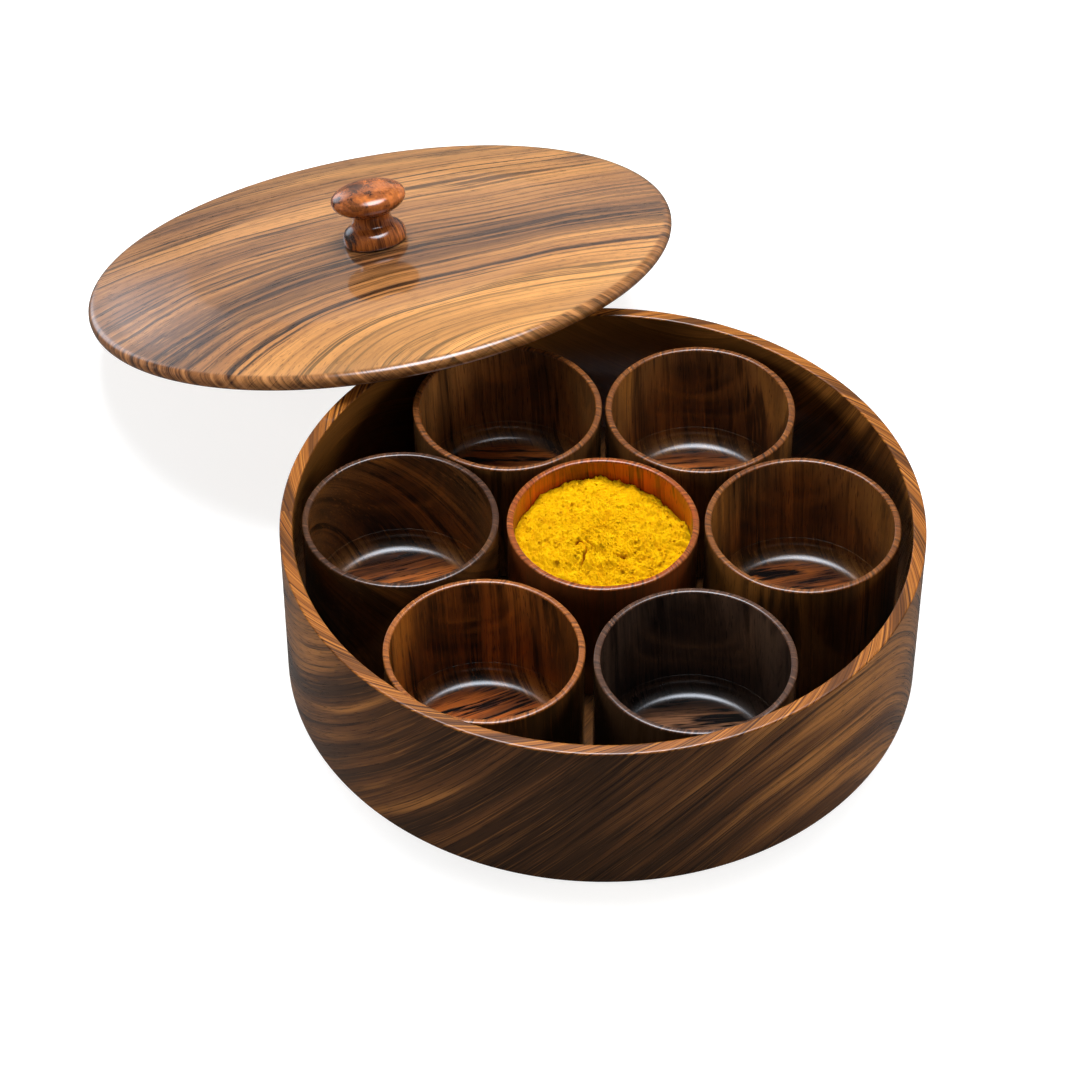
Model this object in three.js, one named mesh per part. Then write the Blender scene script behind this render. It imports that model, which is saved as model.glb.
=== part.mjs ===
// Wooden masala dabba: a round spice box with seven loose cups and a knobbed lid.
// Millimetres, +Z up.  The origin is the middle of the box's underside, on the table.
// The front of the box is toward -Y.  The lid leans on the back left of the rim.
import * as THREE from 'three';

// ---- driving dimensions ----
const GAP = 0.3;                  // clearance left between pieces that touch

const BOX_RADIUS = 115;
const BOX_HEIGHT = 65.2;
const BOX_WALL = 4.7;
const BOX_EDGE = 0.6;             // softening of the wall's edges
const BASE_THICKNESS = 7.7;       // bottom board, let into a rebate under the wall
const REBATE_DEPTH = 1.7;         // how far the bottom board reaches into the wall
const BOX_INNER = BOX_RADIUS - BOX_WALL;

const CUP_WALL = 2.4;
const CUP_EDGE = 0.7;             // softening of a cup's edges
const COVE_RADIUS = 6.5;          // hollow between a cup's floor and its wall
const COVE_LIP = 0.5;             // thickness of the floor disc's feathered top edge
const CUP_SEAT = BASE_THICKNESS + GAP;

// One cup in the middle and six round it, each standing loosely in its place.  They are
// turned by hand, so each has its own outer radius, height and floor thickness.
const CUPS = [
  { name: 'centre', angle: 68, reach: 0.3, radius: 34.4, height: 54.1, floor: 9.1 },
  { name: 'right', angle: 0.9, reach: 71.4, radius: 35.1, height: 54.1, floor: 8.9 },
  { name: 'back_right', angle: 60.3, reach: 71.3, radius: 35.0, height: 54.1, floor: 8.4 },
  { name: 'back_left', angle: 120.3, reach: 71.1, radius: 34.9, height: 54.1, floor: 10.5 },
  { name: 'left', angle: 179.4, reach: 72.2, radius: 35.2, height: 54.1, floor: 10.3 },
  { name: 'front_left', angle: 237.6, reach: 74.9, radius: 35.0, height: 53.3, floor: 6.4 },
  { name: 'front_right', angle: 296.0, reach: 74.6, radius: 35.1, height: 54.1, floor: 5.6 },
];

const LID_RADIUS = 116.6;
const LID_THICKNESS = 11.2;       // at the middle; the underside is flat
const LID_EDGE_LOW = 3.2;         // rounding of the edge below its widest line
const LID_EDGE_HIGH = 2.8;        // rounding of the edge above it
const CREST_INSET = 5.8;          // where the rounded edge meets the sloping border
const CREST_HEIGHT = 6.25;
const PLATEAU_RADIUS = 75.5;      // the middle of the lid, inside the sloping border
const PLATEAU_EDGE = 10;
const LID_TILT = THREE.MathUtils.degToRad(19.46);
const LID_AZIMUTH = THREE.MathUtils.degToRad(117.84);

const KNOB_HEIGHT = 23.1;
const KNOB_HEAD_RADIUS = 14.95;
const KNOB_HEAD_MIDDLE = 18;
const KNOB_NECK_RADIUS = 7.6;
const KNOB_NECK_MIDDLE = 10.4;
const KNOB_COLLAR_RADIUS = 12.5;
const KNOB_COLLAR_HEIGHT = 7.8;
const SCREW_RADIUS = 2;
const SCREW_HEAD_RADIUS = 4.2;
const SCREW_HEAD_HEIGHT = 2.4;
const SCREW_BITE = 13;            // length of thread inside the knob

const POWDER_EDGE_DROP = 9;       // edge of the heap, under the cup's rim
const POWDER_RISE = 8;            // top of the heap above its edge
const POWDER_LUMP = 0.7;

const ROUND_LARGE = 72;           // facets round the box and the lid
const ROUND_SMALL = 32;           // facets round a cup or the knob

// ---- materials ----
const wood = (color, roughness) => new THREE.MeshStandardMaterial({ color, roughness, metalness: 0 });
const DARK_WOOD = '#5a3119';
const RED_WOOD = '#6b3520';
const GOLD_WOOD = '#8a5a30';
const KNOB_WOOD = '#8c4a24';
const SCREW_STEEL = new THREE.MeshStandardMaterial({ color: '#a9a9a4', roughness: 0.4, metalness: 1 });
const TURMERIC = new THREE.MeshStandardMaterial({ color: '#f2b20c', roughness: 0.95, metalness: 0 });

// ---- helpers ----
// Revolves an outline of [radius, height] pairs about +Z.  The outline runs with the
// material on its left: up the outside, in over the top, down the inside.
function turned(outline, facets) {
  const points = outline.map(([r, z]) => new THREE.Vector2(r, z));
  return new THREE.LatheGeometry(points, facets).rotateX(Math.PI / 2);
}

// Points on an arc in the outline plane, from one angle to another, in degrees.
function arc(cr, cz, radius, from, to, steps) {
  return Array.from({ length: steps + 1 }, (_, i) => {
    const a = THREE.MathUtils.degToRad(from + (to - from) * i / steps);
    return [cr + radius * Math.cos(a), cz + radius * Math.sin(a)];
  });
}

function closed(outline) {
  return [...outline, outline[0]];
}

function piece(name, geometry, material) {
  const mesh = new THREE.Mesh(geometry, material);
  mesh.name = name;
  return mesh;
}

// ---- the box ----
function boxWall() {
  const rebateRadius = BOX_INNER + REBATE_DEPTH;
  return turned(closed([
    [rebateRadius, 0],
    [BOX_RADIUS - BOX_EDGE, 0],
    [BOX_RADIUS, BOX_EDGE],
    ...arc(BOX_RADIUS - BOX_EDGE, BOX_HEIGHT - BOX_EDGE, BOX_EDGE, 0, 90, 2),
    ...arc(BOX_INNER + BOX_EDGE, BOX_HEIGHT - BOX_EDGE, BOX_EDGE, 90, 180, 2),
    [BOX_INNER, BASE_THICKNESS + GAP],
    [rebateRadius, BASE_THICKNESS + GAP],
  ]), ROUND_LARGE);
}

function boxBase() {
  const radius = BOX_INNER + REBATE_DEPTH - GAP;
  return turned([[0, 0], [radius, 0], [radius, BASE_THICKNESS], [0, BASE_THICKNESS]], ROUND_LARGE);
}

// ---- a cup: a thin turned wall and a coved floor disc glued inside it ----
function cupWall({ radius, height }) {
  const inner = radius - CUP_WALL;
  return turned(closed([
    [inner, 0],
    [radius - CUP_EDGE, 0],
    [radius, CUP_EDGE],
    ...arc(radius - CUP_EDGE, height - CUP_EDGE, CUP_EDGE, 0, 90, 2),
    ...arc(inner + CUP_EDGE, height - CUP_EDGE, CUP_EDGE, 90, 180, 2),
  ]), ROUND_SMALL);
}

function cupFloor({ radius, floor }) {
  const edge = radius - CUP_WALL - GAP;
  const coveCentre = edge - COVE_LIP - COVE_RADIUS;
  return turned([
    [0, 0],
    [edge, 0],
    [edge, floor + COVE_RADIUS],
    ...arc(coveCentre, floor + COVE_RADIUS, COVE_RADIUS, 0, -90, 3),
    [0, floor],
  ], ROUND_SMALL);
}

// ---- the heap of turmeric in the middle cup ----
function turmericHeap({ radius, height, floor }) {
  const reach = radius - CUP_WALL - GAP - COVE_LIP - GAP;
  const edge = height - POWDER_EDGE_DROP;
  const rings = 6;
  const surface = Array.from({ length: rings }, (_, i) => {
    const share = 1 - i / rings;
    return [reach * share, edge + POWDER_RISE * Math.cos(share * Math.PI / 2)];
  });
  const heap = turned([
    [0, floor + GAP],
    [reach - COVE_RADIUS, floor + GAP],
    [reach, floor + COVE_RADIUS + GAP],
    ...surface,
    [0, edge + POWDER_RISE],
  ], ROUND_SMALL);
  return lumpy(heap, reach, edge);
}

// Raises and lowers the free surface of the heap in soft lumps that fade out at its edge.
function lumpy(geometry, radius, edge) {
  const at = geometry.attributes.position;
  for (let i = 0; i < at.count; i++) {
    const [x, y, z] = [at.getX(i), at.getY(i), at.getZ(i)];
    const fade = 1 - (x * x + y * y) / (radius * radius);
    const lump = Math.sin(x * 0.31 + 1) * Math.cos(y * 0.27) + 0.5 * Math.sin(x * 0.2 - y * 0.4);
    if (z > edge) at.setZ(i, z + POWDER_LUMP * lump * fade);
  }
  return geometry;
}

// ---- the lid, its height measured from its flat underside ----
function lidPanel() {
  const hole = SCREW_RADIUS + GAP;
  const sink = SCREW_HEAD_RADIUS + GAP;
  const knobSeat = KNOB_COLLAR_RADIUS + 2;
  return turned(closed([
    [sink, 0],
    ...arc(LID_RADIUS - LID_EDGE_LOW, LID_EDGE_LOW, LID_EDGE_LOW, -90, 0, 3),
    ...arc(LID_RADIUS - LID_EDGE_HIGH, LID_EDGE_LOW, LID_EDGE_HIGH, 30, 90, 2),
    [LID_RADIUS - CREST_INSET, CREST_HEIGHT],
    [PLATEAU_RADIUS, PLATEAU_EDGE],
    [knobSeat, LID_THICKNESS],
    [hole, LID_THICKNESS],
    [hole, SCREW_HEAD_HEIGHT + GAP],
  ]), ROUND_LARGE);
}

// ---- the knob, its height measured from its own foot ----
function knob() {
  const pilot = SCREW_RADIUS + GAP;
  const foot = KNOB_COLLAR_RADIUS - 0.5;
  const collarEdge = 4;
  const headLow = KNOB_HEAD_MIDDLE - 4.6;
  return turned([
    [0, SCREW_BITE + 2],
    [pilot, SCREW_BITE + 0.5],
    [pilot, 0],
    [foot, 0],
    [KNOB_COLLAR_RADIUS, 1.2],
    [KNOB_COLLAR_RADIUS, collarEdge],
    [foot - 0.4, 5.8],
    [KNOB_NECK_RADIUS + 2, KNOB_COLLAR_HEIGHT - 0.6],
    [KNOB_NECK_RADIUS + 0.7, KNOB_COLLAR_HEIGHT],
    [KNOB_NECK_RADIUS, KNOB_NECK_MIDDLE],
    [KNOB_NECK_RADIUS + 0.8, headLow - 1],
    [KNOB_HEAD_RADIUS - 4, headLow],
    [KNOB_HEAD_RADIUS - 1, headLow + 2.2],
    [KNOB_HEAD_RADIUS, KNOB_HEAD_MIDDLE],
    [KNOB_HEAD_RADIUS - 0.8, KNOB_HEAD_MIDDLE + 2.3],
    [KNOB_HEAD_RADIUS - 3.6, KNOB_HEIGHT - 1.2],
    [KNOB_HEAD_RADIUS - 8, KNOB_HEIGHT - 0.2],
    [0, KNOB_HEIGHT],
  ], ROUND_SMALL);
}

// Countersunk wood screw, its height measured from the underside of the lid.
function knobScrew() {
  const tip = LID_THICKNESS + GAP + SCREW_BITE;
  return turned([
    [0, GAP],
    [SCREW_HEAD_RADIUS, GAP],
    [SCREW_RADIUS, SCREW_HEAD_HEIGHT],
    [SCREW_RADIUS, tip - 3],
    [0, tip],
  ], ROUND_SMALL / 2);
}

// ---- assembly ----
const group = new THREE.Group();
group.name = 'masala_dabba';

group.add(piece('box_wall', boxWall(), wood(DARK_WOOD, 0.35)));
group.add(piece('box_base', boxBase(), wood(GOLD_WOOD, 0.45)));

for (const size of CUPS) {
  const cup = new THREE.Group();
  const turn = THREE.MathUtils.degToRad(size.angle);
  cup.position.set(size.reach * Math.cos(turn), size.reach * Math.sin(turn), CUP_SEAT);
  cup.add(piece(`cup_${size.name}_wall`, cupWall(size), wood(RED_WOOD, 0.35)));
  cup.add(piece(`cup_${size.name}_floor`, cupFloor(size), wood(RED_WOOD, 0.35)));
  if (size.name === 'centre') cup.add(piece('turmeric_powder', turmericHeap(size), TURMERIC));
  group.add(cup);
}

// The lid leans: its low edge stands on the table and its flat underside rests on the
// outer edge of the box rim.
const sine = Math.sin(LID_TILT);
const cosine = Math.cos(LID_TILT);
const lidHeight = (LID_RADIUS - LID_EDGE_LOW) * sine + LID_EDGE_LOW * (1 - cosine) + GAP;
const rimDrop = (BOX_HEIGHT - BOX_EDGE - lidHeight) * cosine + BOX_EDGE + GAP;
const lidReach = BOX_RADIUS - BOX_EDGE + rimDrop / sine;
const lid = new THREE.Group();
lid.position.set(lidReach * Math.cos(LID_AZIMUTH), lidReach * Math.sin(LID_AZIMUTH), lidHeight);
const hinge = new THREE.Vector3(-Math.sin(LID_AZIMUTH), Math.cos(LID_AZIMUTH), 0);
lid.quaternion.setFromAxisAngle(hinge, LID_TILT);
lid.add(piece('lid_panel', lidPanel(), wood(GOLD_WOOD, 0.3)));
const lidKnob = piece('lid_knob', knob(), wood(KNOB_WOOD, 0.25));
lidKnob.position.z = LID_THICKNESS + GAP;
lid.add(lidKnob);
lid.add(piece('knob_screw', knobScrew(), SCREW_STEEL));
group.add(lid);

export default group;
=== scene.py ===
import math
import random

import bmesh
import bpy
import numpy as np
from mathutils import Matrix, Vector, noise


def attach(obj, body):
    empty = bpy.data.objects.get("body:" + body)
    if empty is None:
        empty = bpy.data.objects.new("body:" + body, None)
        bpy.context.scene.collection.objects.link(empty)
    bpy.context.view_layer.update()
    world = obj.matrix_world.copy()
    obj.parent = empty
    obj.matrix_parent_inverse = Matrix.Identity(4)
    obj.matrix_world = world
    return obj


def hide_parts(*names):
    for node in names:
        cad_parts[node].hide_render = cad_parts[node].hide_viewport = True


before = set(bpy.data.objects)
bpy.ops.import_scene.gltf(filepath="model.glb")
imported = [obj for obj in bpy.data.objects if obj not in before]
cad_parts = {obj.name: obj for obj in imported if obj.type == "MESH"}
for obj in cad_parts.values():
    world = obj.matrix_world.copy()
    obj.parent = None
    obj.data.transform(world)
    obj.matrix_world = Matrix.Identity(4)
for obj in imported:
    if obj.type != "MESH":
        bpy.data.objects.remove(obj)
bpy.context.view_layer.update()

MM = 0.001
random.seed(7)

# ------------------------------------------------------------------ dimensions, mm, the same as the CAD's
BOX_R, BOX_H, BOX_WALL, BOX_EDGE = 115.0, 65.2, 4.7, 0.6
BASE_T, REBATE, GAP = 7.7, 1.7, 0.3
BOX_IN = BOX_R - BOX_WALL
CUP_WALL, CUP_EDGE, COVE = 2.4, 0.7, 6.5
CUP_SEAT = BASE_T + GAP
# angle round the box in degrees, distance from its axis, outer radius, height, floor thickness
CUPS = {
    "centre": (68.0, 0.3, 34.4, 54.1, 9.1),
    "right": (0.9, 71.4, 35.1, 54.1, 8.9),
    "back_right": (60.3, 71.3, 35.0, 54.1, 8.4),
    "back_left": (120.3, 71.1, 34.9, 54.1, 10.5),
    "left": (179.4, 72.2, 35.2, 54.1, 10.3),
    "front_left": (237.6, 74.9, 35.0, 53.3, 6.4),
    "front_right": (296.0, 74.6, 35.1, 54.1, 5.6),
}
LID_R, LID_T, LID_LOW, LID_HIGH = 116.6, 11.2, 3.2, 2.8
CREST_IN, CREST_Z, PLATEAU_R, PLATEAU_Z = 5.8, 6.25, 75.5, 10.0
LID_TILT, LID_AZ = math.radians(19.46), math.radians(117.84)


# ------------------------------------------------------------------ mesh helpers
def rounded(points, steps=6, support=0.35):
    """An outline of (r, z, corner radius): corners become arcs, with a support point beside each."""
    out = []
    n = len(points)
    for i, (r, z, rad) in enumerate(points):
        p = Vector((r, z))
        if rad <= 0:
            out.append(p)
            continue
        a = Vector(points[i - 1][:2]) - p
        b = Vector(points[(i + 1) % n][:2]) - p
        la, lb = a.length, b.length
        a.normalize()
        b.normalize()
        half = a.angle(b) / 2
        cut = min(rad / math.tan(half), la * 0.49, lb * 0.49)
        rad = cut * math.tan(half)
        centre = p + (a + b).normalized() * (rad / math.sin(half))
        s, e = p + a * cut, p + b * cut
        if cut + support < la * 0.5:
            out.append(s + a * support)
        v0, v1 = s - centre, e - centre
        turn = v0.angle_signed(v1)
        for k in range(steps + 1):
            t = -turn * k / steps
            c, sn = math.cos(t), math.sin(t)
            out.append(centre + Vector((v0.x * c - v0.y * sn, v0.x * sn + v0.y * c)))
        if cut + support < lb * 0.5:
            out.append(e + b * support)
    return [(q.x, q.y) for q in out]


def arc(r, z, radius, start, end, steps):
    """Points round a centre at (r, z), between two angles in degrees."""
    turns = [math.radians(start + (end - start) * k / steps) for k in range(steps + 1)]
    return [(r + radius * math.cos(t), z + radius * math.sin(t)) for t in turns]


def bridge(bm, rings):
    """Faces between neighbouring rings of vertices. A ring of one vertex is a tip on the axis."""
    for lo, hi in zip(rings, rings[1:]):
        count = max(len(lo), len(hi))
        for k in range(count):
            j = (k + 1) % count
            corners = (lo[k % len(lo)], lo[j % len(lo)], hi[j % len(hi)], hi[k % len(hi)])
            bm.faces.new(list(dict.fromkeys(corners)))


def add(name, data):
    """A new object in the scene."""
    obj = bpy.data.objects.new(name, data)
    bpy.context.scene.collection.objects.link(obj)
    return obj


def add_mesh(name, bm):
    """A smooth-shaded object from a finished bmesh, with every face turned outwards."""
    bmesh.ops.recalc_face_normals(bm, faces=bm.faces)
    mesh = bpy.data.meshes.new(name)
    bm.to_mesh(mesh)
    bm.free()
    for face in mesh.polygons:
        face.use_smooth = True
    return add(name, mesh)


def lathe(name, outline, segments, closed=False, wobble=None):
    """Revolves (r, z) points in mm about Z. A closed outline is a ring; an open one ends on the axis."""
    bm = bmesh.new()
    rings = []
    for r, z in outline:
        if r < 1e-6:
            rings.append([bm.verts.new((0, 0, z * MM))])
            continue
        ring = []
        for k in range(segments):
            a = 2 * math.pi * k / segments
            rr, zz = wobble(r, z, a) if wobble else (r, z)
            ring.append(bm.verts.new((rr * math.cos(a) * MM, rr * math.sin(a) * MM, zz * MM)))
        rings.append(ring)
    bridge(bm, rings + rings[:1] if closed else rings)
    return add_mesh(name, bm)


def put(obj, matrix, body, slot, material, *nodes):
    """Moves the mesh to its place in the row frame, keeping its own coordinates as an attribute."""
    mesh = obj.data
    own = mesh.attributes.new("own", "FLOAT_VECTOR", "POINT")
    own.data.foreach_set("vector", [c for v in mesh.vertices for c in v.co])
    mesh.transform(matrix)
    obj.data.materials.clear()
    obj.data.materials.append(material)
    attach(obj, body)
    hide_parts(*nodes)


# ------------------------------------------------------------------ material helpers
def srgb(r, g, b):
    def lin(c):
        c /= 255
        return c / 12.92 if c <= 0.04045 else ((c + 0.055) / 1.055) ** 2.4
    return (lin(r), lin(g), lin(b), 1)


class Nodes:
    """Short names for building a node tree."""

    def __init__(self, tree):
        self.tree = tree
        tree.nodes.clear()

    def link(self, a, b):
        self.tree.links.new(a, b)

    def new(self, kind, **settings):
        n = self.tree.nodes.new(kind)
        for k, v in settings.items():
            setattr(n, k, v)
        return n

    def feed(self, socket, value):
        if hasattr(value, "is_output"):
            self.link(value, socket)
        else:
            socket.default_value = value

    def math(self, op, a, b=0.0, c=0.0):
        n = self.new("ShaderNodeMath", operation=op)
        for s, v in zip(n.inputs, (a, b, c)):
            self.feed(s, v)
        return n.outputs[0]

    def plus(self, a, b):
        return self.math("ADD", a, b)

    def minus(self, a, b):
        return self.math("SUBTRACT", a, b)

    def times(self, a, b):
        return self.math("MULTIPLY", a, b)

    def vec(self, op, a, b=(0, 0, 0)):
        n = self.new("ShaderNodeVectorMath", operation=op)
        self.feed(n.inputs[0], a)
        if op == "SCALE":
            self.feed(n.inputs["Scale"], b)
        else:
            self.feed(n.inputs[1], b)
        return n.outputs["Value" if op in ("LENGTH", "DOT_PRODUCT") else "Vector"]

    def split(self, v):
        n = self.new("ShaderNodeSeparateXYZ")
        self.link(v, n.inputs[0])
        return n.outputs

    def join(self, x, y, z):
        n = self.new("ShaderNodeCombineXYZ")
        for s, v in zip(n.inputs, (x, y, z)):
            self.feed(s, v)
        return n.outputs[0]

    def reach(self, x, y):
        """Distance from the Z axis."""
        return self.vec("LENGTH", self.join(x, y, 0.0))

    def turn(self, v, degrees):
        n = self.new("ShaderNodeMapping", vector_type="TEXTURE")
        self.link(v, n.inputs["Vector"])
        n.inputs["Rotation"].default_value = [math.radians(d) for d in degrees]
        return n.outputs[0]

    def noise3(self, v, scale=1.0, detail=2.0, rough=0.5, offset=0.0):
        n = self.new("ShaderNodeTexNoise", noise_dimensions="4D")
        self.link(v, n.inputs["Vector"])
        n.inputs["W"].default_value = offset
        n.inputs["Scale"].default_value = scale
        n.inputs["Detail"].default_value = detail
        n.inputs["Roughness"].default_value = rough
        return n.outputs["Fac"]

    def noise1(self, w, scale=1.0, detail=2.0, rough=0.5, offset=0.0):
        n = self.new("ShaderNodeTexNoise", noise_dimensions="1D")
        self.link(self.plus(w, offset * 10), n.inputs["W"])
        n.inputs["Scale"].default_value = scale
        n.inputs["Detail"].default_value = detail
        n.inputs["Roughness"].default_value = rough
        return n.outputs["Fac"]

    def ramp(self, fac, stops, mode="EASE"):
        n = self.new("ShaderNodeValToRGB")
        n.color_ramp.interpolation = mode
        el = n.color_ramp.elements
        while len(el) < len(stops):
            el.new(0.5)
        for e, (pos, col) in zip(el, stops):
            e.position = pos
            e.color = col if not isinstance(col, (int, float)) else (col, col, col, 1)
        self.link(fac, n.inputs[0])
        return n.outputs[0]

    def step(self, v, lo, hi, to=(0.0, 1.0), kind="SMOOTHSTEP"):
        """Goes between the two values of to while v goes from lo to hi; hi may be the smaller one."""
        n = self.new("ShaderNodeMapRange", interpolation_type=kind)
        self.feed(n.inputs["Value"], v)
        n.inputs["From Min"].default_value = lo
        n.inputs["From Max"].default_value = hi
        n.inputs["To Min"].default_value = to[0]
        n.inputs["To Max"].default_value = to[1]
        return n.outputs["Result"]

    def mix(self, fac, a, b):
        n = self.new("ShaderNodeMix", data_type="RGBA")
        self.feed(n.inputs[0], fac)
        self.feed(n.inputs[6], a)
        self.feed(n.inputs[7], b)
        return n.outputs[2]


class Material(Nodes):
    """A material with one Principled shader."""

    def __init__(self, name):
        self.mat = bpy.data.materials.new(name)
        self.mat.use_nodes = True
        super().__init__(self.mat.node_tree)
        out = self.new("ShaderNodeOutputMaterial")
        self.bsdf = self.new("ShaderNodeBsdfPrincipled")
        self.link(self.bsdf.outputs[0], out.inputs[0])

    def set(self, **values):
        for k, v in values.items():
            self.feed(self.bsdf.inputs[k.replace("_", " ")], v)

    def millimetres(self):
        t = self.new("ShaderNodeAttribute", attribute_name="own")
        return self.vec("SCALE", t.outputs["Vector"], 1000.0)

    def bump(self, height, distance, strength):
        n = self.new("ShaderNodeBump")
        self.link(height, n.inputs["Height"])
        n.inputs["Distance"].default_value = distance
        n.inputs["Strength"].default_value = strength
        self.link(n.outputs[0], self.bsdf.inputs["Normal"])


def bars(n, ring, low, high, marks):
    """Darkness of single streaks between two rings: each mark is a place, half width and strength."""
    span = high - low
    stops = []
    for place, half, strength in marks:
        soft = 0.35 + 0.3 * half
        for at, v in ((-half - soft, 0.0), (-half, strength), (half * 0.4, strength), (half + soft * 2, 0.0)):
            stops.append(((place + at - low) / span, v))
    return n.ramp(n.math("DIVIDE", n.minus(ring, low), span), stops, "LINEAR")


def figure(n, x, ring, other, tones, seed, width, length, streak=0.57, ink_by=0.85, fine=0.5,
           warp=10.0, band=0.04, gold=0.0, loose=False, marks=None, shade=0.0):
    """Wood: its colour, fibre and pores.

    x runs along the fibres, ring across the growth rings and other across both, in mm. A loose figure
    takes other as a second coordinate along the fibres.
    tones: the light, middle and dark colours, and the ink of the thin dark streaks
    width, length: size of a streak, mm; streak is the noise level where one starts, ink_by its strength
    fine: strength of the growth lines and threads; warp: how far the rings wander, mm
    band: broad light and dark bands per mm; shade darkens them, and in places carries painted light and
    shade; gold: strength of light flames
    marks: single streaks, as bars() takes them
    """
    light, middle, deep, ink = tones

    def at(along, across, beside):
        return n.vec("MULTIPLY", w, (along, across, along if loose else beside))

    w = n.join(x, ring, other)
    slow = n.noise3(at(0.008, 0.02, 0.02), 1.0, 2.0, 0.5, seed)
    quick = n.noise3(at(0.03, 0.06, 0.06), 1.0, 2.0, 0.5, seed + 3)
    r = n.plus(ring, n.times(n.minus(slow, 0.5), warp))
    r = n.plus(r, n.times(n.minus(quick, 0.5), 0.25 * warp))
    w = n.join(x, r, other)
    broad = n.noise3(at(band * 0.12, band, band * 0.3), 1.0, 2.0, 0.5, seed + 1)
    broad = n.minus(broad, shade)
    colour = n.ramp(broad, [(0.36, deep), (0.5, middle), (0.64, light)])
    fade = n.noise3(at(0.9 / length, 0.35 / width, 0.02), 1.0, 1.0, 0.5, seed + 9)
    fade = n.step(fade, 0.36, 0.62)
    # sharp-edged growth lines, each darkening slowly towards its edge
    t = n.times(r, 1 / width)
    t = n.plus(t, n.times(n.noise1(t, 0.4, 2.0, 0.5, seed), 2.5))
    saw = n.math("FRACT", t)
    line = n.times(n.step(saw, 0.35, 0.96), n.minus(1.0, n.step(saw, 0.95, 1.0)))
    power = n.new("ShaderNodeTexWhiteNoise", noise_dimensions="1D")
    n.link(n.plus(n.math("FLOOR", t), seed), power.inputs["W"])
    line = n.times(line, n.times(power.outputs["Value"], fine))
    colour = n.mix(line, colour, ink)
    if gold:
        lift = n.noise3(at(0.6 / length, 0.9 / width, 0.02), 1.0, 3.0, 0.55, seed + 12)
        colour = n.mix(n.times(n.step(lift, 0.6, 0.7), gold), colour, light)
    # thin lines that run the whole length, then shorter dashes between them
    thread = n.noise1(r, 1.7 / width, 3.0, 0.65, seed + 2)
    thread = n.times(n.step(thread, 0.55, 0.62), n.plus(n.times(fade, 0.8), 0.2))
    colour = n.mix(n.times(thread, fine), colour, ink)
    thin = n.noise3(at(2.4 / length, 4.2 / width, 0.06), 1.0, 3.0, 0.6, seed + 4)
    colour = n.mix(n.times(n.step(thin, 0.57, 0.66), fine), colour, ink)
    main = n.noise3(at(1 / length, 1 / width, 0.02), 1.0, 3.0, 0.55, seed + 2)
    main = n.step(main, streak, streak + 0.07)
    colour = n.mix(n.times(main, ink_by), colour, ink)
    if marks:
        drawn = n.plus(n.times(fade, 0.5), 0.5)
        colour = n.mix(n.times(bars(n, r, *marks), drawn), colour, ink)
    # fibre, gleam and pores
    fibre = n.noise3(at(0.05, 1.6, 1.2), 1.0, 3.0, 0.65, seed + 6)
    colour = n.mix(n.times(n.step(fibre, 0.5, 0.7), 0.5), colour, deep)
    gleam = n.noise3(at(0.035, 1.0, 0.8), 1.0, 2.0, 0.6, seed + 7)
    colour = n.mix(n.times(n.step(gleam, 0.52, 0.75), 0.4), colour, light)
    pores = n.noise3(at(0.16, 2.6, 2.6), 1.0, 1.0, 0.5, seed + 8)
    pores = n.step(pores, 0.6, 0.68)
    colour = n.mix(n.times(pores, 0.6), colour, ink)
    return colour, fibre, pores


def finish_wood(n, wood, rough, coat, coat_rough):
    """Lacquered wood from figure()'s colour, fibre and pores."""
    colour, fibre, pores = wood
    roughness = n.plus(n.times(fibre, 0.12), rough - 0.06)
    roughness = n.plus(roughness, n.times(pores, 0.1))
    n.set(Base_Color=colour, Roughness=roughness, IOR=1.45, Specular_IOR_Level=0.08)
    n.set(Coat_Weight=coat, Coat_Roughness=coat_rough, Coat_IOR=1.5)
    n.bump(n.minus(n.times(fibre, 0.5), pores), 0.03 * MM, 0.6)
    return n.mat


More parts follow.
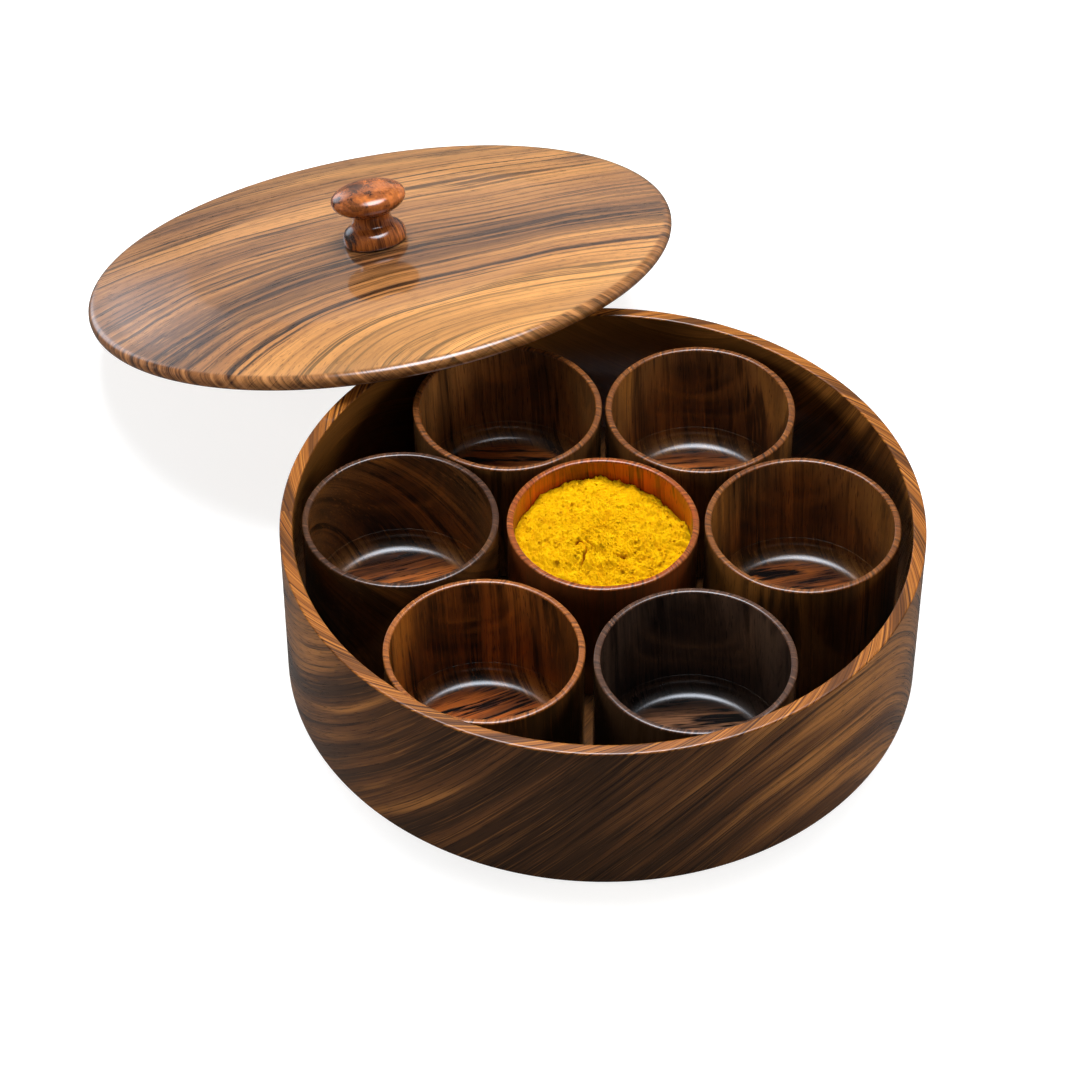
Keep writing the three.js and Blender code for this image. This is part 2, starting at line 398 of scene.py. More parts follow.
def mat_lid():
    n = Material("lid_wood")
    x, y, z = n.split(n.millimetres())
    # growth rings: steep ovals round a point in front of the lid that open out and run off to the right
    middle_x, middle_y, narrow = 70.0, -120.0, 0.7
    u, v = n.minus(x, middle_x), n.minus(y, middle_y)
    su = n.times(u, narrow)
    ring = n.math("SQRT", n.plus(n.times(su, su), n.times(v, v)))
    bend = n.math("SMOOTH_MAX", n.plus(u, 21.0), 0.0, 36.0)
    ring = n.minus(ring, n.times(bend, 0.333))
    ring = n.plus(ring, n.times(z, 0.7))
    along = n.plus(n.times(x, 0.9), n.times(y, 0.45))
    tones = (srgb(175, 121, 65), srgb(138, 92, 50), srgb(106, 68, 38), srgb(24, 13, 8))
    first, last = 30.0, 170.0
    marks = (first, last, [(60, 0.4, 0.6), (74, 0.5, 0.7), (88, 0.9, 0.95), (103, 1.3, 0.9), (109, 1.6, 0.95),
                           (116, 0.9, 0.85), (123, 2.4, 0.85), (131, 1.1, 0.75)])
    # pale in front, darkest across the middle, then even
    shade = n.ramp(n.math("DIVIDE", ring, last), [(0.46, 0.0), (0.6, 0.18), (0.8, 0.17), (0.92, 0.08)])
    # painted light: the lid is painted a little lighter towards its left and darker towards its right
    shade = n.plus(shade, n.times(x, 0.0002))
    shade = n.minus(shade, 0.1)
    colour, fibre, pores = figure(
        n, along, ring, z, tones, seed=11.0, width=4.6, length=120.0, streak=0.59, ink_by=0.8, fine=0.88,
        warp=12.0, band=0.035, marks=marks, shade=shade)
    pale = n.times(n.step(ring, 92.0, 50.0), 0.11)
    colour = n.mix(pale, colour, srgb(232, 178, 108))
    # the outer edge is painted darker: end-grain strokes, together with painted shade on the rounded edge
    # below the crest
    sweep = n.plus(n.times(n.math("ARCTAN2", y, x), LID_R), n.times(z, 0.9))
    end_grain_and_shade = n.ramp(n.noise1(sweep, 0.26, 4.0, 0.7, 14.0), [
        (0.36, srgb(34, 19, 12)), (0.5, srgb(100, 62, 34)), (0.68, srgb(150, 102, 60))])
    edge = n.step(n.reach(x, y), LID_R - 3.6, LID_R - 1.4)
    colour = n.mix(n.times(edge, 0.75), colour, end_grain_and_shade)
    return finish_wood(n, (colour, fibre, pores), rough=0.3, coat=1.0, coat_rough=0.06)


def mat_box():
    n = Material("box_wood")
    px, py, pz = n.split(n.millimetres())
    # the log's rings crest at the front right of the wall and fall away on both sides
    crest = math.radians(-43)
    angle = n.math("ARCTAN2", py, px)
    radius = n.reach(px, py)
    off = n.minus(angle, crest)
    ring = n.minus(pz, n.times(n.math("COSINE", off), BOX_R))
    ring = n.minus(ring, n.times(n.math("COSINE", n.times(off, 2.0)), 21.0))
    ring = n.plus(ring, n.times(n.minus(BOX_R, radius), 0.6))
    # past the crest the rings drop away quickly
    past = n.math("MINIMUM", n.math("MAXIMUM", n.minus(off, 0.2), 0.0), math.pi)
    past = n.minus(1.0, n.math("COSINE", n.times(past, 2.0)))
    ring = n.plus(ring, n.times(past, 57.5))
    tones = (srgb(140, 91, 42), srgb(82, 50, 23), srgb(52, 32, 16), srgb(14, 8, 4))
    first, last = -130.0, -60.0
    arches = (first, last, [(-73, 0.4, 0.8), (-79, 0.6, 0.9), (-84, 0.4, 0.8), (-90, 0.7, 0.9),
                            (-96, 0.4, 0.8), (-102, 0.7, 0.9), (-109, 0.6, 0.8), (-117, 0.8, 0.9)])
    # painted light and shade: how dark each side of the box is painted, once round from -X by way of the
    # front; darkest where the wall faces the front, lighter on the sides
    painted_side_light = n.ramp(n.plus(n.times(angle, 0.5 / math.pi), 0.5), [
        (0.0, 0.16), (0.08, 0.18), (0.167, 0.29), (0.25, 0.34), (0.306, 0.28), (0.361, 0.16), (0.417, 0.11),
        (0.5, 0.12), (0.75, 0.2), (1.0, 0.16)], "LINEAR")
    painted_side_light = n.minus(painted_side_light, 0.2)
    colour, fibre, pores = figure(
        n, px, ring, py, tones, seed=4.0, width=3.0, length=110.0, streak=0.63, ink_by=0.7, fine=0.72,
        warp=9.0, band=0.07, gold=0.35, loose=True, marks=arches, shade=painted_side_light)
    # the rim's top is end grain in places, golden with short streaks across the wall
    sweep = n.plus(n.times(angle, 60.0), n.times(radius, 1.3))
    streaks = n.noise1(sweep, 0.9, 3.0, 0.65, 2.0)
    patches = n.noise1(sweep, 0.09, 3.0, 0.5, 5.0)
    rim = n.ramp(streaks, [(0.34, srgb(58, 29, 9)), (0.48, srgb(116, 66, 21)), (0.68, srgb(154, 98, 38))])
    rim = n.mix(n.times(n.step(patches, 0.45, 0.62), 0.75), rim, srgb(50, 26, 9))
    # painted light: the inside is painted a lighter olive brown at the back and left
    painted_inner_light = n.minus(1.0, n.step(radius, BOX_IN + 0.3, BOX_IN + 1.0))
    painted_inner_light = n.times(painted_inner_light, n.step(n.math("COSINE", n.minus(angle, 2.3)), -0.3, 0.6))
    colour = n.mix(n.times(painted_inner_light, 0.4), colour, srgb(150, 100, 44))
    top = n.step(pz, BOX_H - 0.75, BOX_H - 0.35)
    colour = n.mix(top, colour, rim)
    return finish_wood(n, (colour, fibre, pores), rough=0.34, coat=0.7, coat_rough=0.1)


def mat_base():
    n = Material("base_wood")
    x, y, z = n.split(n.turn(n.millimetres(), (0, 0, 60)))
    tones = (srgb(112, 70, 32), srgb(82, 50, 22), srgb(52, 31, 14), srgb(24, 14, 7))
    ring = n.plus(y, n.times(z, 0.4))
    colour, fibre, pores = figure(n, x, ring, z, tones, seed=21.0, width=4.0, length=60.0)
    return finish_wood(n, (colour, fibre, pores), rough=0.4, coat=0.15, coat_rough=0.2)


def upright_figure(n, p, seed, tones, bow, marks):
    """Upright grain round a cup, the same in its wall and in the hollow of its floor."""
    px, py, pz = n.split(p)
    ring = n.plus(n.times(px, 0.9), n.times(py, 0.45))
    ring = n.plus(ring, n.times(pz, 0.05))
    if bow:
        ring = n.plus(ring, n.times(n.times(pz, pz), bow))
    return figure(
        n, pz, ring, py, tones, seed, width=4.0, length=80.0, fine=0.55, warp=7.0, band=0.07, marks=marks)


def mat_cup_wall(name, seed, tones, rim_tones, radius, height, bow, marks):
    n = Material("cup_" + name)
    p = n.millimetres()
    px, py, pz = n.split(p)
    colour, fibre, pores = upright_figure(n, p, seed, tones, bow, marks)
    # the rim's top shows short streaks
    angle = n.math("ARCTAN2", py, px)
    reach = n.reach(px, py)
    sweep = n.plus(n.times(angle, radius), n.times(reach, 0.4))
    streaks = n.noise1(sweep, 0.8, 3.0, 0.6, seed)
    dark, middle, light = rim_tones
    rim = n.ramp(streaks, [(0.32, dark), (0.5, middle), (0.72, light)])
    outside = n.step(reach, radius - 1.6, radius - 0.8)
    colour = n.mix(n.times(outside, OUTSIDE.get(name, 0.4)), colour, srgb(70, 48, 24))
    top = n.step(pz, height - 1.0, height - 0.3)
    colour = n.mix(n.times(top, 0.85), colour, rim)
    return finish_wood(n, (colour, fibre, pores), rough=0.3, coat=0.8, coat_rough=0.08)


def mat_cup_floor(name, seed, tones, floor_tones, degrees, flat, bow, marks):
    n = Material("floor_" + name)
    p = n.millimetres()
    px, py, _ = n.split(p)
    upright, _, _ = upright_figure(n, p, seed, tones, bow, marks)
    x, y, z = n.split(n.turn(p, (0, 0, degrees)))
    colour, fibre, pores = figure(
        n, x, y, z, floor_tones, seed + 33, width=3.4, length=34.0, streak=0.5, ink_by=1.0, fine=0.9,
        warp=9.0, band=0.1)
    edge = n.step(n.reach(px, py), flat - 0.5, flat + 2.5)
    colour = n.mix(edge, colour, upright)
    return finish_wood(n, (colour, fibre, pores), rough=0.32, coat=1.0, coat_rough=0.19)


def mat_knob():
    n = Material("knob_wood")
    px, py, pz = n.split(n.millimetres())
    ring = n.plus(n.times(px, 1.2), n.times(py, 0.6))
    tones = (srgb(186, 106, 44), srgb(136, 74, 32), srgb(86, 45, 21), srgb(20, 11, 7))
    colour, fibre, pores = figure(
        n, pz, ring, py, tones, seed=31.0, width=3.2, length=22.0, streak=0.55, ink_by=0.9, fine=0.6,
        warp=5.0, band=0.12)
    # the head is mottled rather than striped
    blotch = n.noise3(n.join(px, py, n.times(pz, 1.6)), 0.16, 3.0, 0.6, 17.0)
    mottle = n.ramp(blotch, [(0.4, srgb(34, 17, 9)), (0.48, srgb(112, 60, 27)), (0.62, srgb(164, 92, 40))])
    colour = n.mix(n.times(n.step(pz, 11.5, 14.5), 0.7), colour, mottle)
    # a pale, patchy line painted round the foot
    pale_foot_line = n.minus(1.0, n.step(pz, 0.25, 0.7))
    patchy = n.noise3(n.join(px, py, pz), 0.25, 2.0, 0.6, 9.0)
    pale_foot_line = n.times(pale_foot_line, n.step(patchy, 0.35, 0.6))
    colour = n.mix(n.times(pale_foot_line, 0.75), colour, srgb(190, 176, 160))
    return finish_wood(n, (colour, fibre, pores), rough=0.25, coat=0.8, coat_rough=0.05)


def mat_screw():
    n = Material("screw_steel")
    p = n.millimetres()
    scratch = n.noise3(n.vec("MULTIPLY", p, (3.0, 0.4, 1.0)), 1.0, 3.0, 0.6, 1.0)
    steel = n.ramp(scratch, [(0.3, srgb(150, 148, 142)), (0.7, srgb(196, 194, 188))])
    n.set(Base_Color=steel, Metallic=1.0, Roughness=n.plus(n.times(scratch, 0.3), 0.2))
    n.bump(scratch, 0.02 * MM, 0.4)
    return n.mat


def mat_turmeric():
    n = Material("turmeric")
    p = n.millimetres()
    clumps = n.noise3(p, 0.3, 3.0, 0.6, 1.0)
    grain = n.noise3(p, 2.0, 3.0, 0.7, 2.0)
    specks = n.noise3(p, 1.5, 2.0, 0.6, 3.0)
    colour = n.ramp(clumps, [(0.32, srgb(184, 131, 3)), (0.5, srgb(194, 146, 4)), (0.7, srgb(203, 159, 7))])
    colour = n.mix(n.times(n.step(grain, 0.5, 0.75), 0.3), colour, srgb(222, 172, 6))
    # painted shade: hollows and cracks are painted a deeper orange
    hollow_shade = n.new("ShaderNodeAttribute", attribute_name="hollow_shade").outputs["Fac"]
    colour = n.mix(n.times(n.step(hollow_shade, 0.35, 1.0), 0.7), colour, srgb(168, 84, 0))
    colour = n.mix(n.times(n.step(hollow_shade, 0.75, 1.0), 0.7), colour, srgb(112, 44, 0))
    amount = n.times(n.step(specks, 0.58, 0.7), n.step(clumps, 0.62, 0.4))
    colour = n.mix(n.times(amount, 0.6), colour, srgb(170, 92, 1))
    roughness = n.plus(n.times(grain, 0.1), 0.85)
    n.set(Base_Color=colour, Roughness=roughness, Specular_IOR_Level=0.02)
    n.bump(n.plus(grain, n.times(specks, 0.5)), 0.5 * MM, 0.9)
    return n.mat


# ------------------------------------------------------------------ the box
def make_box():
    rebate = BOX_IN + REBATE
    outline = rounded([
        (rebate, 0.0, 0.3), (BOX_R, 0.0, BOX_EDGE), (BOX_R, BOX_H, BOX_EDGE),
        (BOX_IN, BOX_H, BOX_EDGE), (BOX_IN, BASE_T + GAP, 0.0), (rebate, BASE_T + GAP, 0.0),
    ])
    wall = lathe("box_wall_turned", outline, 192, closed=True)
    put(wall, Matrix.Identity(4), "box", "dark_wood", mat_box(), "box_wall")
    radius = rebate - GAP
    outline = rounded([(0, 0, 0), (radius, 0, 0.4), (radius, BASE_T, 0.3), (0, BASE_T, 0)])
    base = lathe("box_base_board", outline, 160)
    put(base, Matrix.Identity(4), "box", "gold_wood", mat_base(), "box_base")


# ------------------------------------------------------------------ the cups
# light, middle, dark and ink colours
CUP_TONES = {
    "centre": ((192, 74, 18), (152, 54, 12), (108, 38, 10), (46, 18, 6)),
    "right": ((154, 102, 46), (98, 65, 33), (58, 38, 22), (16, 11, 8)),
    "back_right": ((158, 106, 50), (114, 75, 38), (72, 48, 27), (22, 14, 9)),
    "back_left": ((148, 101, 54), (108, 73, 39), (70, 48, 28), (24, 17, 11)),
    "left": ((146, 95, 44), (92, 59, 31), (52, 34, 20), (14, 10, 6)),
    "front_left": ((168, 102, 40), (106, 63, 27), (52, 33, 17), (8, 6, 4)),
    "front_right": ((92, 72, 58), (60, 46, 38), (38, 29, 25), (12, 9, 9)),
}
FLOOR_TONES = {
    "front_right": ((132, 88, 58), (74, 48, 32), (36, 23, 16), (8, 6, 5)),
    "front_left": ((204, 108, 36), (156, 78, 24), (74, 35, 12), (6, 4, 3)),
}
FLOOR_TONE = ((168, 92, 36), (112, 58, 22), (54, 27, 11), (8, 5, 4))
# dark, middle and light colours
RIM_TONES = {
    "front_left": ((66, 32, 11), (118, 64, 24), (150, 92, 40)),
    "front_right": ((28, 17, 12), (60, 38, 27), (96, 66, 48)),
    "left": ((20, 11, 8), (46, 26, 17), (88, 58, 42)),
    "centre": ((58, 27, 9), (112, 55, 18), (146, 84, 36)),
}
RIM_TONE = ((38, 18, 8), (88, 47, 19), (124, 74, 34))
# how far a cup's outside turns to plain brown
OUTSIDE = {"centre": 0.75}
# direction of the grain in a cup's floor, degrees
FLOOR_TURN = {
    "centre": 0, "right": 15, "back_right": 8, "back_left": 3, "left": 20, "front_left": 27, "front_right": 6,
}
# how strongly the rings bow up a cup's wall
BOW = {"left": 0.012}
# single streaks down a cup's wall, as bars() takes them
MARKS = {
    "front_left": (-45.0, 45.0, [(11.5, 2.6, 0.9), (21.0, 1.0, 0.9), (-12.0, 0.7, 0.7), (33.0, 0.8, 0.7)]),
    "right": (-45.0, 45.0, [(-4.0, 2.4, 0.8), (20.0, 3.0, 0.6)]),
}


def make_cup(index, name, degrees, reach, radius, height, thick):
    a = math.radians(degrees)
    place = Matrix.Translation((reach * math.cos(a) * MM, reach * math.sin(a) * MM, CUP_SEAT * MM))
    inner = radius - CUP_WALL
    outline = rounded([
        (inner, 0.0, 0.2), (radius, 0.0, 0.9), (radius, height, CUP_EDGE), (inner, height, CUP_EDGE),
    ])

    def wobble(r, z, t):
        """Leaves the top 3 mm of the wall slightly uneven."""
        lift = max(0.0, z - height + 3.0) / 3.0
        out = noise.noise((math.cos(t) * 2.2, math.sin(t) * 2.2, index * 3.7))
        up = noise.noise((math.cos(t) * 3, math.sin(t) * 3, index + 40.0))
        return r + 0.16 * out * lift, z + 0.12 * up * lift

    tones = tuple(srgb(*c) for c in CUP_TONES[name])
    rim_tones = tuple(srgb(*c) for c in RIM_TONES.get(name, RIM_TONE))
    floor_tones = tuple(srgb(*c) for c in FLOOR_TONES.get(name, FLOOR_TONE))
    seed = 50.0 + 7 * index
    bow, marks = BOW.get(name, 0.0), MARKS.get(name)
    body = f"cup_{name}"
    wall = lathe(f"{body}_turned", outline, 112, closed=True, wobble=wobble)
    wall_wood = mat_cup_wall(name, seed, tones, rim_tones, radius, height, bow, marks)
    put(wall, place, body, "red_wood", wall_wood, f"{body}_wall")
    # the floor's edge comes up the wall as a hollow curve that stops a hair from it
    edge = inner - 0.03
    flat = edge - 0.1 - COVE
    top = thick + COVE + 0.6
    outline = [(0, 0), (edge, 0), (edge, top), (edge - 0.06, top)]
    outline += arc(flat, thick + COVE, COVE, 0, -90, 16) + [(flat * 0.6, thick), (0, thick)]
    floor = lathe(f"{body}_bottom", outline, 112)
    floor_wood = mat_cup_floor(name, seed, tones, floor_tones, FLOOR_TURN[name], flat, bow, marks)
    put(floor, place, body, "red_wood", floor_wood, f"{body}_floor")
    return place


# ------------------------------------------------------------------ the turmeric
# how far under the rim the powder meets the cup's wall, mm, by direction in degrees from +X
HEAP_EDGE = [(0, 10.0), (30, 11.8), (55, 12.2), (72, 9.8), (92, 6.9), (118, 8.6), (150, 9.2), (180, 9.6),
             (210, 9.0), (270, 8.0), (330, 9.0), (360, 10.0)]


def chance(i, j, key):
    """A repeatable random number from 0 to 1 for each whole-number pair."""
    h = (i.astype(np.int64) * 374761393 + j.astype(np.int64) * 668265263 + key * 974634777) & 0xFFFFFFFF
    h = ((h ^ (h >> 13)) * 1274126177) & 0xFFFFFFFF
    return ((h ^ (h >> 16)) & 0xFFFF) / 65535.0


def soft_noise(x, y, key):
    i, j = np.floor(x), np.floor(y)
    u, v = x - i, y - j
    u, v = u * u * (3 - 2 * u), v * v * (3 - 2 * v)
    low = chance(i, j, key) * (1 - u) + chance(i + 1, j, key) * u
    high = chance(i, j + 1, key) * (1 - u) + chance(i + 1, j + 1, key) * u
    return (low * (1 - v) + high * v) * 2 - 1


def rough_noise(x, y, key, octaves, gain=0.5):
    total, size = 0.0, 1.0
    for k in range(octaves):
        total = total + size * soft_noise(x * 2.03 ** k + 5.1 * k, y * 2.03 ** k - 3.7 * k, key + k)
        size *= gain
    return total


def crumbs(x, y, key):
    """Packed grains one unit apart: their height, with a few standing proud, and the gaps between them."""
    i, j = np.floor(x), np.floor(y)
    first, second, tall = np.full(x.shape, 9.0), np.full(x.shape, 9.0), np.zeros(x.shape)
    for di in (-1, 0, 1):
        for dj in (-1, 0, 1):
            a, b = i + di, j + dj
            d = np.hypot(a + chance(a, b, key) - x, b + chance(a, b, key + 50) - y)
            near = d < first
            second = np.where(near, first, np.minimum(second, d))
            tall = np.where(near, chance(a, b, key + 90), tall)
            first = np.where(near, d, first)
    dome = np.sqrt(np.clip(1 - (first / 0.75) ** 2, 0, 1))
    return dome * (0.25 + tall ** 2), 1 - np.clip((second - first) * 2.5, 0, 1)


# cracks in the heap: middle x and y, half width and half length, lean, in mm
CRACKS = [(-6.8, -12.5, 0.55, 4.6, 0.2), (-8.6, -7.4, 1.9, 0.45, -0.3), (-4.2, -8.2, 0.5, 1.9, -0.9),
          (6.5, -12.5, 2.2, 0.35, 0.3), (5.0, -25.5, 1.5, 0.6, 0.4)]


def heap(x, y, radius):
    """Height of the powder over the cup's rim, mm, and how much painted shade each spot gets in its hollows
    and cracks, from 0 to 1.
    """
    rho = np.clip(np.hypot(x, y) / radius, 0, 1)
    turn = np.degrees(np.arctan2(y, x)) % 360
    drop = np.interp(turn, [a for a, _ in HEAP_EDGE], [d for _, d in HEAP_EDGE])
    # a flattened cone whose top lies a little behind the middle
    away = np.clip(np.hypot(x + 3.5, y - 6.0) / (radius * 1.08), 0, 1)
    blend = rho ** 3
    base = (-0.6 - 8.0 * away ** 1.25) * (1 - blend) - drop * blend
    base = base + 1.3 * rough_noise(x * 0.11, y * 0.11, 3, 3)
    base = base + 0.7 * rough_noise(x * 0.35, y * 0.35, 8, 3, 0.6)
    wx, wy = x + 0.8 * soft_noise(x * 0.7, y * 0.7, 21), y + 0.8 * soft_noise(x * 0.7, y * 0.7, 22)
    coarse, gap1 = crumbs(wx * 0.42, wy * 0.42, 31)
    medium, gap2 = crumbs(wx * 0.85, wy * 0.85, 33)
    small, gap3 = crumbs(wx * 1.6, wy * 1.6, 35)
    patch = np.clip(0.5 + 0.8 * soft_noise(x * 0.16, y * 0.16, 41), 0.1, 1)
    dust = rough_noise(x * 2.4, y * 2.4, 45, 3, 0.6)
    detail = 0.45 * coarse * patch + 0.6 * medium + 0.6 * small + 0.3 * dust
    crack = np.zeros(x.shape)
    for cx, cy, sx, sy, lean in CRACKS:
        dx = x - cx - lean * (y - cy) - 1.0 * soft_noise(x * 0.6, y * 0.6, 51)
        dy = y - cy - 0.8 * soft_noise(x * 0.5, y * 0.5, 52)
        crack = crack + np.exp(-(dx / sx) ** 2 - (dy / sy) ** 2)
    height = base + detail - 1.0 - 2.4 * crack
    hollow_shade = np.clip(0.16 * gap1 * patch + 0.22 * gap2 + 0.22 * gap3 - 0.2 * detail + 1.4 * crack, 0, 1)
    return height, hollow_shade


def make_turmeric(place):
    _, _, cup_radius, cup_height, thick = CUPS["centre"]
    radius = cup_radius - CUP_WALL - 0.12
    rings, segs = 120, 420
    bm = bmesh.new()
    hollow_shade_layer = bm.verts.layers.float.new("hollow_shade")
    grid = []
    for i in range(rings + 1):
        a = np.arange(segs if i else 1) * 2 * math.pi / segs
        x, y = radius * i / rings * np.cos(a), radius * i / rings * np.sin(a)
        h, hollow_shade = heap(x, y, radius)
        ring = []
        for k in range(len(a)):
            v = bm.verts.new((x[k] * MM, y[k] * MM, (cup_height + h[k]) * MM))
            v[hollow_shade_layer] = hollow_shade[k]
            ring.append(v)
        grid.append(ring)
    # underneath, the powder stays clear of the cup's floor
    turns = [2 * math.pi * k / segs for k in range(segs)]
    below = [(radius, thick + COVE + 2), (radius - 0.7, thick + COVE + 1), (radius - COVE - 1, thick + GAP)]
    for r, z in below:
        grid.append([bm.verts.new((r * math.cos(t) * MM, r * math.sin(t) * MM, z * MM)) for t in turns])
    grid.append([bm.verts.new((0, 0, (thick + GAP) * MM))])
    bridge(bm, grid)
    # loose crumbs lying on the heap
    loose = []
    for _ in range(380):
        rho, a = radius * 0.94 * math.sqrt(random.random()), random.uniform(0, 2 * math.pi)
        size = random.uniform(0.2, 0.6) * (1.8 if random.random() < 0.08 else 1)
        loose.append((rho * math.cos(a), rho * math.sin(a), size))
    x, y, size = (np.array(c) for c in zip(*loose))
    z = cup_height + heap(x, y, radius)[0] + size * 0.2
    for cx, cy, cz, r in zip(x, y, z, size):
        made = bmesh.ops.create_icosphere(bm, subdivisions=1, radius=r * MM)
        for v in made["verts"]:
            k = 1 + 0.4 * noise.noise(v.co * 2200 + Vector((cx, cy, 0)))
            v.co = v.co * k + Vector((cx, cy, cz)) * MM
    heap_mesh = add_mesh("turmeric_heap", bm)
    put(heap_mesh, place, "cup_centre", "turmeric", mat_turmeric(), "turmeric_powder")


# ------------------------------------------------------------------ the lid
def lid_matrix():
    s, c = math.sin(LID_TILT), math.cos(LID_TILT)
    height = (LID_R - LID_LOW) * s + LID_LOW * (1 - c) + GAP
    drop = (BOX_H - BOX_EDGE - height) * c + BOX_EDGE + GAP
    reach = BOX_R - BOX_EDGE + drop / s
    place = Matrix.Translation(Vector((reach * math.cos(LID_AZ), reach * math.sin(LID_AZ), height)) * MM)
    hinge = Vector((-math.sin(LID_AZ), math.cos(LID_AZ), 0))
    return place @ Matrix.Rotation(LID_TILT, 4, hinge)


def make_lid():
    place = lid_matrix()
    # underside with a countersink, round edge, gentle dome up to the plateau, plateau, screw hole
    sink, bore = 4.5, 2.3
    outline = [(sink, 0), (sink + 0.5, 0), (60, 0), (LID_R - LID_LOW - 0.5, 0)]
    outline += arc(LID_R - LID_LOW, LID_LOW, LID_LOW, -90, 0, 8)
    outline += arc(LID_R - LID_HIGH, LID_LOW, LID_HIGH, 0, 90, 8)[1:]
    outline += [(LID_R - 4.3, CREST_Z - 0.1), (LID_R - CREST_IN, CREST_Z), (LID_R - 12, 6.95), (95, 8.2)]
    outline += [(PLATEAU_R + 1.5, 9.88), (PLATEAU_R, PLATEAU_Z), (PLATEAU_R - 1.5, 10.08)]
    outline += [(50, 10.6), (25, 11.02), (14, LID_T), (bore, LID_T), (bore, 2.7)]
    panel = lathe("lid_turned", outline, 224, closed=True)
    put(panel, place, "lid", "gold_wood", mat_lid(), "lid_panel")

    foot = place @ Matrix.Translation((0, 0, (LID_T + GAP * 0.3) * MM))
    # screw hole, foot, neck and head, from the inside out
    profile = [(0, 15.0), (bore, 13.5), (bore, 0), (11.4, 0)]
    profile += [(12.2, 0.35), (12.5, 1.1), (12.55, 2.4), (12.45, 3.8), (12.0, 5.0), (11.1, 6.1), (9.9, 7.0)]
    profile += [(8.7, 7.7), (8.0, 8.7), (7.65, 9.8), (7.6, 10.6), (7.75, 11.6), (8.3, 12.6), (9.3, 13.3)]
    profile += [(10.8, 13.9), (12.4, 14.6), (13.7, 15.6), (14.6, 16.8), (14.95, 18.0), (14.8, 19.3)]
    profile += [(14.0, 20.6), (12.4, 21.7), (10.0, 22.45), (7.0, 22.9), (3.5, 23.07), (0, 23.1)]
    knob = lathe("lid_knob_turned", profile, 96)
    sub = knob.modifiers.new("smooth", "SUBSURF")
    sub.levels = sub.render_levels = 1
    put(knob, foot, "lid", "knob_wood", mat_knob(), "lid_knob")

    screw = [(0, 0.35), (1.0, 0.35), (3.9, 0.3), (4.2, 0.45), (2.0, 2.4), (2.0, 21.0), (0, 24.5)]
    put(lathe("knob_screw_turned", screw, 40), place, "lid", "screw_steel", mat_screw(), "knob_screw")


make_box()
places = {name: make_cup(i, name, *CUPS[name]) for i, name in enumerate(CUPS)}
make_turmeric(places["centre"])
make_lid()


# ------------------------------------------------------------------ floor, light, camera
FLOOR_HALF, FLOOR_DROP = 6.0, 0.0003
# brightness of the surroundings by height, from straight down to straight up
SKY = [(0.0, 0.04), (0.12, 0.12), (0.2, 0.12), (0.46, 0.2), (0.5, 0.42), (0.56, 0.5), (0.66, 0.2), (1.0, 0.3)]
# a soft glow low behind the left end of the lid: direction, height and width in degrees, brightness, colour
GLOW_AZ, GLOW_UP, GLOW_WIDE, GLOW_POWER = 126.0, 4.0, 22.0, 2.1
GLOW_COLOUR = (0.75, 0.86, 1.0, 1)
# place, target and size in metres, power in watts, colour; the sheen is wide and shows in the lacquer only
LIGHTS = {
    "top": ((0.0, 0.38, 1.3), (0, 0.02, 0), (0.8, 0.7), 44, (0.93, 0.96, 1.0)),
    "sheen": ((0.0, 0.2, 1.3), (0, 0.02, 0), (1.4, 1.6), 134, (0.82, 0.89, 1.0)),
    "side_left": ((-1.4, -0.2, 0.5), (0, 0, 0.05), (0.7, 0.7), 12, (1.0, 0.9, 0.78)),
    "side_right": ((1.4, 0.0, 0.6), (0, 0, 0.05), (0.7, 0.7), 12, (1.0, 0.9, 0.78)),
}
# distance from the middle of the rim in metres, elevation and roll in degrees, lens in mm
VIEW_DISTANCE, VIEW_UP, VIEW_ROLL, LENS, SENSOR = 1.26495, 43.593, 0.9287, 118.455, 36
# the frame's middle is a little to the left of the box's axis and in front of it
AIM_LEFT, AIM_FRONT = 0.02234, 0.0084


def make_floor():
    mesh = bpy.data.meshes.new("floor")
    corners = [(-1, -1), (1, -1), (1, 1), (-1, 1)]
    mesh.from_pydata([(x * FLOOR_HALF, y * FLOOR_HALF, -FLOOR_DROP) for x, y in corners], [], [(0, 1, 2, 3)])
    n = Material("floor_white")
    n.set(Base_Color=(0.36, 0.36, 0.36, 1), Roughness=0.9, Specular_IOR_Level=0.1)
    n.set(Emission_Color=(1, 1, 1, 1), Emission_Strength=0.78)
    mesh.materials.append(n.mat)
    floor = add("floor", mesh)
    floor.visible_glossy = False


def make_world():
    world = bpy.data.worlds.new("studio")
    world.use_nodes = True
    bpy.context.scene.world = world
    n = Nodes(world.node_tree)

    def background(colour, strength):
        shader = n.new("ShaderNodeBackground")
        n.feed(shader.inputs["Color"], colour)
        n.feed(shader.inputs["Strength"], strength)
        return shader.outputs[0]

    sky = n.new("ShaderNodeTexCoord").outputs["Generated"]
    _, y, z = n.split(sky)
    level = n.ramp(n.math("MULTIPLY_ADD", z, 0.5, 0.5), SKY, "LINEAR")
    # dimmer towards the front
    front = n.step(y, -0.9, 0.3, (0.2, 1.0), "LINEAR")
    az, up = math.radians(GLOW_AZ), math.radians(GLOW_UP)
    near = n.vec("DOT_PRODUCT", sky, (math.cos(az) * math.cos(up), math.sin(az) * math.cos(up), math.sin(up)))
    glow = n.step(near, math.cos(math.radians(GLOW_WIDE)), 1.0, (0.0, GLOW_POWER))
    both = n.new("ShaderNodeAddShader")
    n.link(background(level, front), both.inputs[0])
    n.link(background(GLOW_COLOUR, glow), both.inputs[1])
    n.link(both.outputs[0], n.new("ShaderNodeOutputWorld").inputs[0])


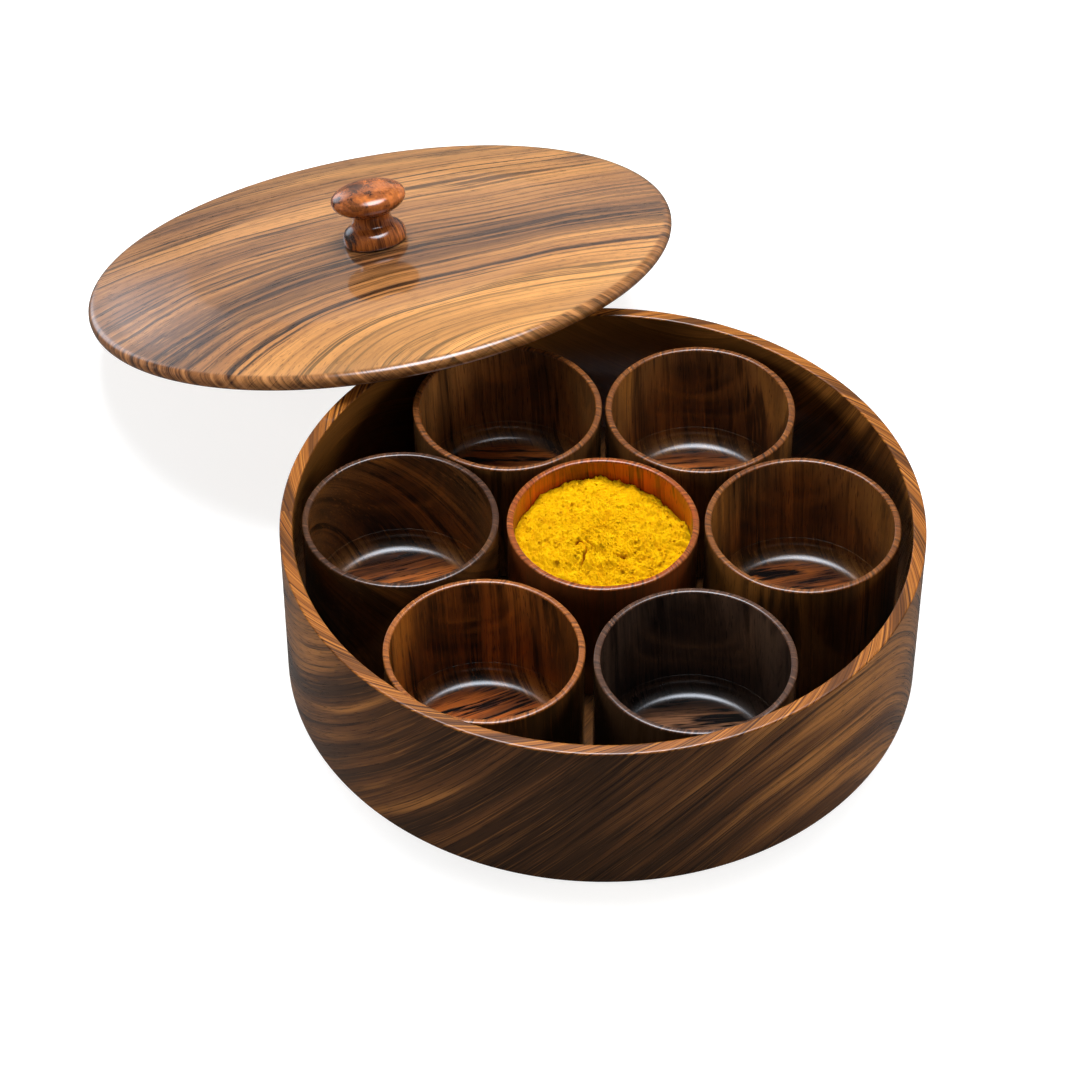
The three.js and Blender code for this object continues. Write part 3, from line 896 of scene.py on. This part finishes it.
def area(name, location, target, size, power, colour):
    data = bpy.data.lights.new(name, "AREA")
    data.shape = "RECTANGLE"
    data.size, data.size_y = size
    data.energy = power
    data.color = colour
    obj = add(name, data)
    obj.location = location
    obj.rotation_euler = (Vector(target) - Vector(location)).to_track_quat("-Z", "Y").to_euler()
    return obj


def soften(light):
    """Lets a light fade out towards its edges."""
    light.use_nodes = True
    t = light.node_tree
    spot = t.nodes.new("ShaderNodeNewGeometry")
    off = t.nodes.new("ShaderNodeVectorMath")
    off.operation = "DISTANCE"
    off.inputs[1].default_value = (0.5, 0.5, 0)
    fade = t.nodes.new("ShaderNodeMapRange")
    fade.interpolation_type = "SMOOTHSTEP"
    fade.inputs["From Min"].default_value = 0.5
    fade.inputs["From Max"].default_value = 0.12
    t.links.new(spot.outputs["Parametric"], off.inputs[0])
    t.links.new(off.outputs["Value"], fade.inputs["Value"])
    t.links.new(fade.outputs["Result"], t.nodes["Emission"].inputs["Strength"])


def make_lights():
    lights = {name: area(name, *LIGHTS[name]) for name in LIGHTS}
    sheen = lights.pop("sheen")
    sheen.visible_diffuse = False
    soften(sheen.data)
    for light in lights.values():
        light.visible_glossy = False


def make_camera():
    up, roll = math.radians(VIEW_UP), math.radians(VIEW_ROLL)
    rim = Vector((0, 0, BOX_H * MM))
    at = rim + VIEW_DISTANCE * Vector((0, -math.cos(up), math.sin(up)))
    forward = (rim - at).normalized()
    right, above = Vector((1, 0, 0)), Vector((0, math.sin(up), math.cos(up)))
    rolled_right = right * math.cos(roll) + above * math.sin(roll)
    rolled_above = above * math.cos(roll) - right * math.sin(roll)
    aim = (rim - rolled_right * AIM_LEFT - rolled_above * AIM_FRONT - at).normalized()
    turn = forward.rotation_difference(aim)
    axes = Matrix((turn @ rolled_right, turn @ rolled_above, -aim)).transposed()
    data = bpy.data.cameras.new("camera")
    data.sensor_width, data.lens = SENSOR, LENS
    data.clip_start, data.clip_end = 0.05, 50
    camera = add("camera", data)
    camera.matrix_world = Matrix.Translation(at) @ axes.to_4x4()
    bpy.context.scene.camera = camera


make_floor()
make_world()
make_lights()
make_camera()
view = bpy.context.scene.view_settings
view.view_transform = "Standard"
view.look = "None"
